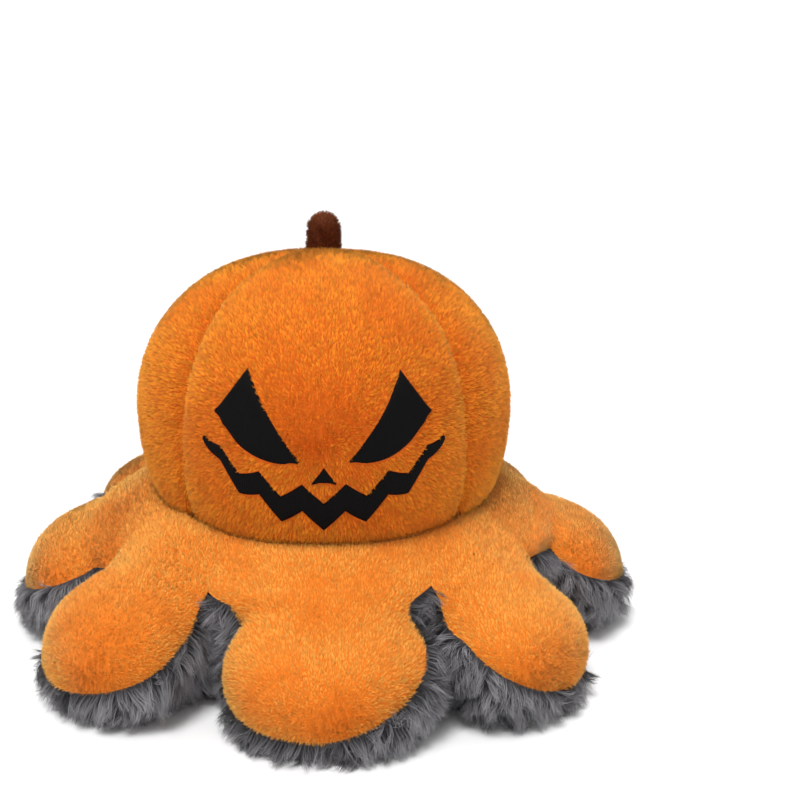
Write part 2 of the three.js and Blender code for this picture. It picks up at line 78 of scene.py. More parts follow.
def on_face(along, z, lift):
    """Points of the head's front, a distance round it from the middle, standing off it by lift."""
    angle, radius = along / HEAD_RADIUS, head_radius(z, 0) + lift
    return np.stack([radius * np.sin(angle), -radius * np.cos(angle), z], 1)


def mouth_edges(along):
    share = along / MOUTH_HALF_WIDTH
    taper = np.sqrt(np.clip(1 - share**2, 0, 1))
    tooth = ((share + 1) * MOUTH_TEETH / 2 + 0.5) % 1
    zigzag = MOUTH_TOOTH * taper * (4 * np.abs(tooth - 0.5) - 1)
    half = np.maximum(STITCH_POINT, MOUTH_THICKNESS * taper) / 2
    middle = MOUTH_HEIGHT + MOUTH_RISE * share**2 + zigzag
    return middle - half, middle + half


def eye_edges(along):
    share = np.clip((along - EYE_INNER) / (EYE_OUTER - EYE_INNER), 0, 1)
    low = EYE_HEIGHT + EYE_OUTER_RISE * share**2 - EYE_SAG * np.sin(np.pi * share)
    brow = np.interp(along, [EYE_INNER, EYE_PEAK, EYE_OUTER], [STITCH_POINT, EYE_PEAK_RISE, EYE_OUTER_RISE])
    return low, EYE_HEIGHT + brow


def nose_edges(along):
    high = NOSE_HEIGHT * (1 - np.abs(along) / NOSE_HALF_WIDTH)
    return np.full_like(along, NOSE_FOOT), NOSE_FOOT + np.maximum(STITCH_POINT, high)


def cloth(columns, rows, place):
    """A flat square of cloth cut into columns and rows, each point of it moved to place(u, v), in millimetres."""
    sheet = bmesh.new()
    bmesh.ops.create_grid(sheet, x_segments=columns, y_segments=rows, size=0.5)
    flat = np.array([vertex.co for vertex in sheet.verts]) + 0.5
    for vertex, point in zip(sheet.verts, place(flat[:, 0], flat[:, 1])):
        vertex.co = Vector(point) * MM
    return sheet


def keep(name, sheet, material):
    mesh = bpy.data.meshes.new(name)
    sheet.to_mesh(mesh)
    sheet.free()
    mesh.materials.append(material)
    piece = bpy.data.objects.new(name, mesh)
    scene.collection.objects.link(piece)
    return piece


def satin_patch(node, span, edges, place):
    """A stitched shape from span[0] to span[1] between its lower and upper edge, one ridge for each thread."""
    threads = max(4, round(abs(span[1] - span[0]) / THREAD))

    def stitched(u, v):
        along = span[0] + (span[1] - span[0]) * u
        v = (1 - np.cos(np.pi * v)) / 2  # rows lie closer together near the edges
        low, high = edges(along)
        ends = np.minimum(u, 1 - u) * 2 * threads
        sides = np.minimum(v, 1 - v) * np.maximum(1 / STITCH_RIM_SHARE, (high - low) / STITCH_RIM)
        ridge = THREAD_RELIEF * np.abs(np.sin(np.pi * threads * u))
        up = np.clip(np.minimum(ends, sides), 0, 1) ** 0.5
        return place(along, low + (high - low) * v, STITCH_SUNK + (STITCH_LIFT + ridge - STITCH_SUNK) * up)

    sheet = cloth(threads * THREAD_COLUMNS, STITCH_ROWS, stitched)
    bmesh.ops.recalc_face_normals(sheet, faces=sheet.faces)
    bmesh.ops.solidify(sheet, geom=sheet.faces, thickness=STITCH_BACKING * MM)
    patch = keep(f"{node}_stitching", sheet, black_thread)
    patch.data.shade_smooth()
    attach(patch, "head")
    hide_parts(node)
    return patch


def fibre_noise(nodes, link, scale, stretch):
    """Fine streaks over a piece, for colour and roughness that change from fibre to fibre."""
    place, mapping, noise = (nodes.new(f"ShaderNode{kind}") for kind in ("TexCoord", "Mapping", "TexNoise"))
    mapping.inputs["Scale"].default_value = stretch
    noise.inputs["Scale"].default_value = scale
    noise.inputs["Detail"].default_value = 4
    link(place.outputs["Object"], mapping.inputs["Vector"])
    link(mapping.outputs["Vector"], noise.inputs["Vector"])
    return noise.outputs["Fac"]


black_thread = bpy.data.materials.new("black_thread")
black_thread.use_nodes = True
nodes, link = black_thread.node_tree.nodes, black_thread.node_tree.links.new
streaks = fibre_noise(nodes, link, scale=500, stretch=(1, 1, 0.15))
blacks, gloss = nodes.new("ShaderNodeValToRGB"), nodes.new("ShaderNodeMapRange")
blacks.color_ramp.elements[0].color = linear(1, 1, 1)
blacks.color_ramp.elements[1].color = linear(14, 13, 15)
gloss.inputs["To Min"].default_value, gloss.inputs["To Max"].default_value = 0.55, 0.8
link(streaks, blacks.inputs["Fac"])
link(streaks, gloss.inputs["Value"])
shader = nodes["Principled BSDF"]
link(blacks.outputs["Color"], shader.inputs["Base Color"])
link(gloss.outputs["Result"], shader.inputs["Roughness"])
shader.inputs["Specular IOR Level"].default_value = 0.08

satin_patch("mouth", (-MOUTH_HALF_WIDTH, MOUTH_HALF_WIDTH), mouth_edges, on_face)
satin_patch("nose", (-NOSE_HALF_WIDTH, NOSE_HALF_WIDTH), nose_edges, on_face)
for side, sign in (("left", -1), ("right", 1)):
    satin_patch(f"{side}_eye", (EYE_INNER, EYE_OUTER), eye_edges, lambda x, z, lift: on_face(sign * x, z, lift))


# Head skin. Four panels of short orange pile, sewn edge to edge up to the stem behind the crown and stuffed
# tight, so each panel swells between seams that are pulled in and pucker. The pile is brushed away from the
# middle of the brow.
STEM_SETBACK, STEM_HOLE = 24.0, 5.6
FACE_HALF = math.radians(50)
PANELS = {
    "face": (-FACE_HALF, FACE_HALF),
    "right": (FACE_HALF, math.pi - FACE_HALF),
    "back": (math.pi - FACE_HALF, math.pi + FACE_HALF),
    "left": (math.pi + FACE_HALF, 2 * math.pi - FACE_HALF),
}
NECK_TUCK = -1.16  # the level to which the skin goes on below the neck, inside the legs
PANEL_LENGTH = 70  # of each level, along a panel
PANEL_COLUMNS, PANEL_ROWS = 60, 80
CROWN_NARROWING = 1.3  # the turn over which a panel narrows towards the stem
SKIN_INSET = 0.6  # the backing lies this far under the tips of the pile, before it is stuffed
SEAM_DEPTH, SEAM_WIDTH = 2.2, 1.9
SEAM_DIP, SEAM_DIP_WIDTH = 0.9, 12  # the slower fall of a panel towards its seams
SEAM_EASE, EASE_START, EASE_LENGTH = 0.75, 0.7, 0.3  # seams are shallower near the stem, over these levels
PUCKER, PUCKER_STEP, PUCKER_REACH = 0.45, 4.0, 4.0
PUCKER_DRIFT, PUCKER_DRIFT_STEP = 1.3, 7  # puckers come at uneven steps
BROW_HEIGHT = 82.0
BRUSH_WIDTH, BRUSH_DEPTH, BRUSH_RISE = 30, 40, 12  # from the brow to where the pile lies flat


def on_head(angle, level, inset):
    """Points of the head. Level runs from -1 at the neck over 0 at the widest ring to 1 at the stem's hole."""
    widest = HEAD_RADIUS - inset
    low = HEAD_WAIST + np.minimum(level, 0) * (HEAD_WAIST - NECK_HEIGHT)
    turn = np.maximum(level, 0) * np.arccos(STEM_HOLE / widest)
    rho = np.where(level < 0, head_radius(low, inset), widest * np.cos(turn))
    back = np.where(level < 0, 0, STEM_SETBACK * (widest - rho) / (widest - STEM_HOLE))
    x, y = rho * np.sin(angle), back - rho * np.cos(angle)
    share = np.clip(np.hypot(x, y) / widest, 0, 1)
    dome = HEAD_WAIST + (HEAD_RISE - inset) * (1 - share**HEAD_SQUARENESS) ** (1 / HEAD_SQUARENESS)
    return np.stack([x, y, np.where(level < 0, low, dome)], 1)


LUMP_WAVES = 9


def lumps(points, seed, size, height):
    """A smooth uneven field over points, about size from one swelling to the next."""
    rng = np.random.default_rng(seed)
    waves = rng.normal(size=(LUMP_WAVES, 3))
    waves *= (2 * np.pi / size * rng.uniform(0.6, 1.5, LUMP_WAVES) / np.linalg.norm(waves, axis=1))[:, None]
    return height * np.sin(points @ waves.T + rng.uniform(0, 2 * np.pi, LUMP_WAVES)).mean(1) * 2


def uneven(points, seed, size, height):
    return np.stack([lumps(points, seed + axis, size, height) for axis in range(3)], 1)


def unit(vectors):
    return vectors / np.maximum(np.linalg.norm(vectors, axis=-1, keepdims=True), 1e-9)


CLOTH_SCALE, CLOTH_FRAMES = 10, 20  # cloth this small is simulated at ten times its size


def stuffed(sheet, sewn, pressure, swell):
    """Fills a piece of cloth that is held where sewn(points) says: a simulation of the filling's pressure on it,
    in which no point moves further than swell, in millimetres."""
    start = np.array([vertex.co for vertex in sheet.verts])
    mesh = bpy.data.meshes.new("filled_cloth")
    sheet.to_mesh(mesh)
    mesh.vertices.foreach_set("co", start.ravel() * CLOTH_SCALE)
    bag = bpy.data.objects.new("filled_cloth", mesh)
    scene.collection.objects.link(bag)
    held = np.array([vertex.is_boundary for vertex in sheet.verts]) | sewn(start / MM)
    bag.vertex_groups.new(name="sewn").add(np.flatnonzero(held).tolist(), 1, "REPLACE")
    filling = bag.modifiers.new("filling", "CLOTH").settings
    filling.vertex_group_mass = "sewn"
    filling.use_pressure, filling.uniform_pressure_force = True, pressure
    filling.effector_weights.gravity = 0
    for number in range(1, CLOTH_FRAMES + 1):
        scene.frame_set(number)
    filled = bag.evaluated_get(bpy.context.evaluated_depsgraph_get()).data
    swollen = np.empty(len(start) * 3)
    filled.vertices.foreach_get("co", swollen)
    scene.frame_set(1)
    move = swollen.reshape(-1, 3) / CLOTH_SCALE - start
    far = np.linalg.norm(move, axis=1, keepdims=True)
    move *= np.minimum(1, swell * MM / np.maximum(far, 1e-9))
    for vertex, point in zip(sheet.verts, start + move):
        vertex.co = point
    bpy.data.objects.remove(bag)
    bpy.data.meshes.remove(mesh)


def arrays(mesh):
    """A mesh's points and point normals, in millimetres, and its faces as triangles."""
    mesh.calc_loop_triangles()
    points = np.empty(len(mesh.vertices) * 3)
    normals = np.empty(len(mesh.vertices) * 3)
    corners = np.empty(len(mesh.loop_triangles) * 3, int)
    mesh.vertices.foreach_get("co", points)
    mesh.vertex_normals.foreach_get("vector", normals)
    mesh.loop_triangles.foreach_get("vertices", corners)
    return points.reshape(-1, 3) / MM, normals.reshape(-1, 3), corners.reshape(-1, 3)


TUFT_WARP_STEP, TUFT_WARP = 2.5, 0.5  # how uneven the tufts' outlines are, in tufts
LEAN_SPREAD, STRAND_STRAY, STRAND_TWIST = 0.3, 0.15, 0.8  # how the strands of one tuft differ
LENGTH_LEAST, LENGTH_BY_TUFT, LENGTH_BY_STRAND = 0.7, 0.3, 0.25
STRAND_RISE, STRAND_RUN, STRAND_TAPER = 0.5, 0.2, 0.5  # a strand stands up before it bends over and thins out
STRAND_ROOT, STRAND_FLOOR = 0.3, 0.3  # how far in the skin it starts, and the least height of its tip
SKIN_LIGHT, STRAND_LIGHT, STRAND_ROUNDNESS = 0.7, 0.3, 0.4  # what its shading takes from the skin and from itself
# The backing is given a shade below the strands' mean: painted shade seen between the strands.
SHADE_BY_TUFT, SHADE_BY_STRAND, BACKING_PAINTED_SHADE = 0.8, 0.2, 0.3


def with_pile(
    piece, seed, density, length, width, lean, nap, tuft, gather, stray, bends=1, droop=0.0, bare=None, at=0.0
):
    """Grows strands on a skin, density to the square millimetre, and makes them one mesh with it. A strand has
    bends lengths, leans over along nap(points, normals), less where that is short, gathers with the others of its
    tuft and droops. Stray is how far each tuft goes its own way. Where bare(points) is true at the share at of a
    strand's length, it doesn't grow."""
    rng = np.random.default_rng(seed)
    points, normals, corners = arrays(piece.data)
    a, b, c = (points[corners[:, i]] for i in range(3))
    area = np.linalg.norm(np.cross(b - a, c - a), axis=1) / 2
    count = int(area.sum() * density)
    face = np.searchsorted(np.cumsum(area) / area.sum(), rng.random(count)).clip(0, len(corners) - 1)
    u, v = rng.random(count), rng.random(count)
    u, v = np.where(u + v > 1, 1 - u, u), np.where(u + v > 1, 1 - v, v)
    share = np.stack([1 - u - v, u, v], 1)[:, :, None]
    root = (points[corners[face]] * share).sum(1)
    normal = unit((normals[corners[face]] * share).sum(1))
    warped = root + uneven(root, seed, size=TUFT_WARP_STEP * tuft, height=TUFT_WARP * tuft)
    cells, member = np.unique(np.floor(warped / tuft).astype(int), axis=0, return_inverse=True)
    member = member.reshape(-1)
    size = np.bincount(member)
    middle = np.stack([np.bincount(member, root[:, i]) / size for i in range(3)], 1)[member]
    tuft_shade, tuft_length = rng.random((2, len(cells)))[:, member]
    tuft_stray = rng.normal(size=(len(cells), 3))[member]

    flow = nap(root, normal)
    flow = flow - normal * (flow * normal).sum(1, keepdims=True)
    flow /= np.maximum(np.linalg.norm(flow, axis=1, keepdims=True), 1)
    over = lean * (1 + LEAN_SPREAD * rng.normal(size=(count, 1)))
    aim = unit(normal + over * flow + stray * tuft_stray + STRAND_STRAY * rng.normal(size=(count, 3)))
    long = LENGTH_LEAST + LENGTH_BY_TUFT * tuft_length[:, None] + LENGTH_BY_STRAND * rng.random((count, 1))
    long *= length
    tip = root + aim * long + gather * (middle - root)
    tip[:, 2] -= droop * long[:, 0]
    grows = np.ones(count, bool) if bare is None else ~bare(root + at * (tip - root))
    count = int(grows.sum())
    root, normal, aim, long, tip, tuft_shade = (row[grows] for row in (root, normal, aim, long, tip, tuft_shade))
    rise = root + normal * long * STRAND_RISE + STRAND_RUN * (tip - root)
    side = unit(np.cross(aim, normal + STRAND_TWIST * rng.normal(size=(count, 3)))) * width / 2
    facing = unit(np.cross(side, aim))
    away = (facing * normal).sum(1, keepdims=True) < 0
    side, facing = np.where(away, -side, side), np.where(away, -facing, facing)
    rings = []
    for step in np.arange(bends) / bends:
        row = (1 - step) ** 2 * (root - STRAND_ROOT * normal) + 2 * step * (1 - step) * rise + step**2 * tip
        half = side * (1 - STRAND_TAPER * step)
        rings += [row - half, row + half]
    strand = np.stack([*rings, tip], 1)
    strand[:, :, 2] = np.maximum(strand[:, :, 2], STRAND_FLOOR)
    per = 2 * bends + 1
    tips = np.repeat(np.linspace(0, 1, bends + 1), [2] * bends + [1])

    across = np.array([-1, 1] * bends + [0])[None, :, None] * unit(side)[:, None]
    outwards = unit(SKIN_LIGHT * normal + STRAND_LIGHT * facing)[:, None]
    strand_normals = unit(outwards + STRAND_ROUNDNESS * across)

    old = piece.data
    first = len(points)
    starts = first + per * np.arange(count)[:, None]
    skin_loops, skin_totals = np.empty(len(old.loops), int), np.empty(len(old.polygons), int)
    old.loops.foreach_get("vertex_index", skin_loops)
    old.polygons.foreach_get("loop_total", skin_totals)
    quads = [[2 * i, 2 * i + 1, 2 * i + 3, 2 * i + 2] for i in range(bends - 1)]
    end = [2 * bends - 2, 2 * bends - 1, 2 * bends]
    loops = np.concatenate([skin_loops, *((starts + quad).ravel() for quad in quads), (starts + end).ravel()])
    totals = np.concatenate([skin_totals, np.full(count * len(quads), 4), np.full(count, 3)])
    mesh = bpy.data.meshes.new(old.name)
    mesh.vertices.add(first + per * count)
    mesh.vertices.foreach_set("co", np.concatenate([points, strand.reshape(-1, 3)]).ravel() * MM)
    mesh.loops.add(len(loops))
    mesh.loops.foreach_set("vertex_index", loops)
    mesh.polygons.add(len(totals))
    mesh.polygons.foreach_set("loop_start", np.concatenate([[0], np.cumsum(totals)[:-1]]))
    mesh.update(calc_edges=True)
    mesh.shade_smooth()
    shade = SHADE_BY_TUFT * tuft_shade + SHADE_BY_STRAND * rng.random(count)
    # The backing takes the root's colour and a darker shade: painted shade between the strands.
    values = {
        "tip": np.concatenate([np.zeros(first), np.tile(tips, count)]),
        "shade": np.concatenate([np.full(first, BACKING_PAINTED_SHADE), np.repeat(shade, per)]),
    }
    for name, value in values.items():
        mesh.attributes.new(name, "FLOAT", "POINT").data.foreach_set("value", value)
    mesh.normals_split_custom_set_from_vertices(np.concatenate([normals, strand_normals.reshape(-1, 3)]))
    for material in old.materials:
        mesh.materials.append(material)
    piece.data = mesh
    bpy.data.meshes.remove(old)
    return piece


def pile_colour_group():
    """Colour along a strand from a darker root to a lighter tip, the root's darkness being painted shade deep in the
    pile, lighter or darker from strand to strand, deeper in soft patches.
    """
    group = bpy.data.node_groups.new("pile_colour", "ShaderNodeTree")
    for name in ("Root", "Tip"):
        group.interface.new_socket(name, in_out="INPUT", socket_type="NodeSocketColor")
    for name in ("Spread", "Patches"):
        group.interface.new_socket(name, in_out="INPUT", socket_type="NodeSocketFloat")
    group.interface.new_socket("Colour", in_out="OUTPUT", socket_type="NodeSocketColor")
    nodes, link = group.nodes, group.links.new
    entry, leave = nodes.new("NodeGroupInput"), nodes.new("NodeGroupOutput")
    tip, shade = nodes.new("ShaderNodeAttribute"), nodes.new("ShaderNodeAttribute")
    tip.attribute_name, shade.attribute_name = "tip", "shade"
    along, deeper = nodes.new("ShaderNodeMix"), nodes.new("ShaderNodeMix")
    along.data_type = deeper.data_type = "RGBA"
    link(tip.outputs["Fac"], along.inputs["Factor"])
    link(entry.outputs["Root"], along.inputs["A"])
    link(entry.outputs["Tip"], along.inputs["B"])

    patch, depth = nodes.new("ShaderNodeMapRange"), nodes.new("ShaderNodeMath")
    patch.interpolation_type = "SMOOTHSTEP"
    patch.inputs["From Min"].default_value, patch.inputs["From Max"].default_value = 0.42, 0.66
    depth.operation = "MULTIPLY"
    link(fibre_noise(nodes, link, scale=48, stretch=(1, 1, 1)), patch.inputs["Value"])
    link(patch.outputs["Result"], depth.inputs[0])
    link(entry.outputs["Patches"], depth.inputs[1])
    link(depth.outputs[0], deeper.inputs["Factor"])
    link(along.outputs["Result"], deeper.inputs["A"])
    link(entry.outputs["Root"], deeper.inputs["B"])

    spread, level, value = (nodes.new(f"ShaderNode{kind}") for kind in ("Math", "Math", "HueSaturation"))
    spread.operation, level.operation = "SUBTRACT", "MULTIPLY_ADD"
    spread.inputs[1].default_value = 0.5
    level.inputs[2].default_value = 1
    link(shade.outputs["Fac"], spread.inputs[0])
    link(spread.outputs[0], level.inputs[0])
    link(entry.outputs["Spread"], level.inputs[1])
    link(level.outputs[0], value.inputs["Value"])
    link(deeper.outputs["Result"], value.inputs["Color"])
    link(value.outputs["Color"], leave.inputs["Colour"])
    return group


def plush_material(name, root, tip, spread, patches, bloom, sheen):
    """Pile whose strands are so thin that the light on their upper side shows on their lower side too."""
    material = bpy.data.materials.new(name)
    material.use_nodes = True
    nodes, link = material.node_tree.nodes, material.node_tree.links.new
    shader, colour = nodes["Principled BSDF"], nodes.new("ShaderNodeGroup")
    colour.node_tree = pile_colour
    colour.inputs["Root"].default_value = root
    colour.inputs["Tip"].default_value = tip
    colour.inputs["Spread"].default_value = spread
    colour.inputs["Patches"].default_value = patches
    link(colour.outputs["Colour"], shader.inputs["Base Color"])
    place, sign, lit = (nodes.new(f"ShaderNode{kind}") for kind in ("NewGeometry", "MapRange", "VectorMath"))
    sign.inputs["To Min"].default_value, sign.inputs["To Max"].default_value = 1, -1
    lit.operation = "SCALE"
    link(place.outputs["Backfacing"], sign.inputs["Value"])
    link(place.outputs["Normal"], lit.inputs[0])
    link(sign.outputs["Result"], lit.inputs["Scale"])
    link(lit.outputs["Vector"], shader.inputs["Normal"])
    shader.inputs["Roughness"].default_value = 0.85
    shader.inputs["Specular IOR Level"].default_value = 0.2
    shader.inputs["Sheen Weight"].default_value = sheen
    shader.inputs["Sheen Roughness"].default_value = 0.6
    shader.inputs["Sheen Tint"].default_value = bloom
    return material


pile_colour = pile_colour_group()
# The head's copy of the orange cloth; the legs take a paler copy of the same cloth with painted light.
head_plush = plush_material(
    "head_plush",
    root=linear(226, 97, 4),
    tip=linear(255, 166, 42),
    spread=0.6,
    patches=0.5,
    bloom=linear(255, 195, 110),
    sheen=0.5,
)


def brushed(points, normals):
    """The way the pile lies: away from the middle of the brow, and at the back from the same place there."""
    x, y, z = points.T
    away = np.stack([x / BRUSH_WIDTH, -y / BRUSH_DEPTH, (z - BROW_HEIGHT) / BRUSH_RISE], 1)
    return away + uneven(points, seed=40, size=26, height=0.3)


def stitched_bare(points):
    """Where the stitched face covers the skin."""
    along = np.arctan2(points[:, 0], -points[:, 1]) * HEAD_RADIUS
    across, covered = np.abs(along), np.zeros(len(points), bool)
    for edges, near, far in (
        (eye_edges, EYE_INNER, EYE_OUTER),
        (nose_edges, 0, NOSE_HALF_WIDTH),
        (mouth_edges, 0, MOUTH_HALF_WIDTH),
    ):
        low, high = edges(along if edges is mouth_edges else across)
        covered |= (across > near) & (across < far) & (points[:, 2] > low) & (points[:, 2] < high)
    return covered & (points[:, 1] < 0)


HEAD_PILE = dict(density=10, length=1.4, width=0.24, lean=0.95, tuft=1.1, gather=0.65, stray=0.2)

for number, (side, (start, stop)) in enumerate(PANELS.items()):
    def panel_place(u, v):
        angle, level = start + (stop - start) * u, NECK_TUCK + (1 - NECK_TUCK) * v
        edge = np.minimum(u, 1 - u) * (stop - start) * HEAD_RADIUS * np.cos(np.clip(level, 0, 1) * CROWN_NARROWING)
        along = level * PANEL_LENGTH
        wave = np.sin(2 * np.pi * along / PUCKER_STEP + PUCKER_DRIFT * np.sin(along / PUCKER_DRIFT_STEP))
        pulled = SEAM_DEPTH * np.exp(-((edge / SEAM_WIDTH) ** 2)) + SEAM_DIP * np.exp(-((edge / SEAM_DIP_WIDTH) ** 2))
        pulled = pulled + PUCKER * wave * np.exp(-((edge / PUCKER_REACH) ** 2))
        eased = 1 - SEAM_EASE * np.clip((level - EASE_START) / EASE_LENGTH, 0, 1)
        points = on_head(angle, level, SKIN_INSET + pulled * eased)
        return points + unit(points - [0, 0, HEAD_WAIST]) * lumps(points, seed=7, size=34, height=0.5)[:, None]

    sheet = cloth(PANEL_COLUMNS, PANEL_ROWS, panel_place)
    bmesh.ops.recalc_face_normals(sheet, faces=sheet.faces)
    stuffed(sheet, lambda points: points[:, 2] < NECK_HEIGHT, pressure=50, swell=1.2)
    panel = keep(f"{side}_panel_plush", sheet, head_plush)
    with_pile(panel, 100 + number, nap=brushed, bare=stitched_bare, at=0.6, **HEAD_PILE)
    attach(panel, "head")
    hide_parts(f"{side}_panel")
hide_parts("head_filling")


# Stem. A stuffed stub of brown plush, closed and rounded at the top, sewn in where the four panels meet.
# It leans back a little.
STEM_SEAT = np.array([0.0, 24.0, 112.77])
STEM_RADIUS, STEM_TIP_RADIUS, STEM_LENGTH, STEM_LEAN = 5.3, 4.7, 12.2, math.radians(8)
STEM_FOOT = -4.0  # how far below the panels' seam it starts
STEM_STRAIGHT = 0.6  # the share of its rows below the rounded end
STEM_BUMPS, STEM_RIPPLES = 0.05, 0.03
STEM_PILE = dict(density=12, length=1.3, width=0.24, lean=0.6, tuft=0.9, gather=0.5, stray=0.2)
POLE = 0.02  # the ring at the end of a rounded piece, before it is drawn to one point

brown_plush = plush_material(
    "brown_plush",
    root=linear(84, 38, 14),
    tip=linear(142, 74, 34),
    spread=0.35,
    patches=0.3,
    bloom=linear(150, 90, 50),
    sheen=0.1,
)


def stem_place(u, v):
    turn, closing = 2 * np.pi * u, np.clip((v - STEM_STRAIGHT) / (1 - STEM_STRAIGHT), 0, 1) * np.pi / 2
    radius = np.interp(v, [0, STEM_STRAIGHT], [STEM_RADIUS, STEM_TIP_RADIUS])
    shoulder = STEM_LENGTH - STEM_TIP_RADIUS
    z = STEM_FOOT + np.minimum(v / STEM_STRAIGHT, 1) * (shoulder - STEM_FOOT) + radius * np.sin(closing)
    uneven_round = STEM_BUMPS * np.sin(3 * turn + 1) + STEM_RIPPLES * np.sin(5 * turn + z)
    r = (radius * np.cos(closing) + POLE) * (1 + uneven_round)
    x, y = r * np.sin(turn), -r * np.cos(turn)
    c, s = math.cos(STEM_LEAN), math.sin(STEM_LEAN)
    return STEM_SEAT + np.stack([x, y * c + z * s, z * c - y * s], 1)


sheet = cloth(40, 30, stem_place)
bmesh.ops.remove_doubles(sheet, verts=sheet.verts, dist=3 * POLE * MM)
bmesh.ops.recalc_face_normals(sheet, faces=sheet.faces)
stem = keep("stem_plush", sheet, brown_plush)
with_pile(stem, 200, nap=lambda points, normals: np.tile([0.0, 0.0, 1.0], (len(points), 1)), **STEM_PILE)
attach(stem, "stem")
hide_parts("stem_cover", "stem_filling")


# Legs. Eight stuffed lobes hang from the neck seam, each a short orange upper sewn to a long grey sole.
# Their roots lie side by side as one skirt. Past it each lobe swells, rolls a little to one side and rounds off.
LEGS = {  # direction, roll, lift, reach, width against the others, how low the seam hangs, then the valley to the
    # next leg: its direction and how far out the two part
    "front": (0.9, -21.5, -4.6, 99.9, 0.99, -1.3, 27.2, 67.7),
    "front_right": (43.5, 26, -0.4, 99, 0.94, 0.5, 61.4, 71.0),
    "right": (90.8, 13, 0.7, 96.1, 0.87, -1.1, 115.6, 70.2),
    "back_right": (139.8, 9, -1.5, 100.2, 0.94, 0.6, 158, 71),
    "back": (180, 0, 0, 99.9, 1, 0, 202, 70),
    "back_left": (224.3, -22.5, 1, 99, 0.91, 0.7, 244.2, 70.2),
    "left": (272.2, -22, -1.6, 97, 0.95, -1.0, 296.5, 74.3),
    "front_left": (313.2, -11.7, 3.6, 100.6, 1.06, 3.4, 331, 69.6),
}
LEG_ROOT, LEG_BULB = 52.5, 82.0
HINGE_RADIUS = 54.6
LEG_TOP = ([52.5, 57, 62, 68, 74, 81, 88, 101], [46.3, 45.4, 42.4, 38.4, 34.6, 31.2, 29.4, 28])
LEG_SEAM = ([52.5, 58, 62, 66, 69, 72, 76, 81, 90, 101], [46, 43.6, 40.6, 37.6, 34.6, 30.6, 25.4, 20.4, 14.5, 9])
LEG_WIDTH = ([52.5, 66, 69, 72, 76, 81, 85, 101], [27, 26.6, 24.4, 23.5, 26.4, 29.4, 30.1, 30.1])
NOTCH_LENGTH = 2.2  # from where neighbours part to where each has its own width
LEG_GAP = 0.5  # least space between a leg and the middle of the valley
LEG_COLUMNS, LEG_ROWS = 44, 60
BULB_ROWS = 0.6  # the share of a leg's rows before it rounds off
SKIRT_END, SWELL_END = 66.0, 79.0
SKIRT_SEWN = 68  # the cloth is held up to here when the leg is stuffed
ROLL_START, ROLL_END = 71.0, 84.0
TIP_ROLL = 0.5  # the share of its roll that a leg keeps at its tip
UPPER_ROUNDNESS, SOLE_ROUNDNESS, SOLE_SQUARENESS = 2.3, 2.6, 9.0
SOLE_ROOT, SOLE_LIFT, SOLE_FLOOR = 55.5, 7.0, 1.2
SOLE_LIFT_END, SOLE_LIFT_LENGTH = 72, 16  # the sole rises towards the head from here, over this length
SOLE_CLOSED = 0.04  # the share of a sole's rows in which it opens out from its root
LIFT_LENGTH = 14  # over which a leg bends up or down, past the skirt
SEAM_PULL, SEAM_PULL_ANGLE, SEAM_PULL_MOST = 0.5, 0.16, 0.2  # the last is a share of the leg's half width
FUR_CLEARANCE, FUR_TOP = -0.5, 28.0  # fur starts this far past the parting of two legs, or below this height
FLAT_FUR, FLAT_THINNING = 2.5, 0.6  # fur that starts below this height is pressed flat, and this share left out
LEG_NAP = -1.3  # the pile lies towards the head
LEG_PILE = dict(density=12, length=1.25, width=0.21, lean=0.95, tuft=0.95, gather=0.65, stray=0.18)
GREY_FUR = dict(density=6, length=6.4, width=0.2, lean=1.1, tuft=3.0, gather=0.5, stray=0.5, bends=2, droop=0.3)

# The same orange cloth as the head's, made paler and yellower: painted light standing in for the light on the legs'
# tops.
leg_plush_painted_light = plush_material(
    "leg_plush_painted_light",
    root=linear(242, 122, 14),
    tip=linear(255, 194, 90),
    spread=0.5,
    patches=0.6,
    bloom=linear(255, 210, 140),
    sheen=0.6,
)
grey_fur = plush_material(
    "grey_fur",
    root=linear(74, 72, 75),
    tip=linear(176, 174, 178),
    spread=0.5,
    patches=0.2,
    bloom=linear(190, 188, 192),
    sheen=0.1,
)


def smooth(share):
    share = np.clip(share, 0, 1)
    return share**2 * (3 - 2 * share)


def curve(table, at):
    """A smooth line through the places and values of a table."""
    places, values = (np.array(row, float) for row in table)
    slopes = np.gradient(values, places)
    index = np.clip(np.searchsorted(places, at) - 1, 0, len(places) - 2)
    gap = places[index + 1] - places[index]
    t = np.clip((at - places[index]) / gap, 0, 1)
    rise = values[index] * (1 - smooth(t)) + values[index + 1] * smooth(t)
    return rise + gap * (slopes[index] * t * (1 - t) ** 2 - slopes[index + 1] * t**2 * (1 - t))


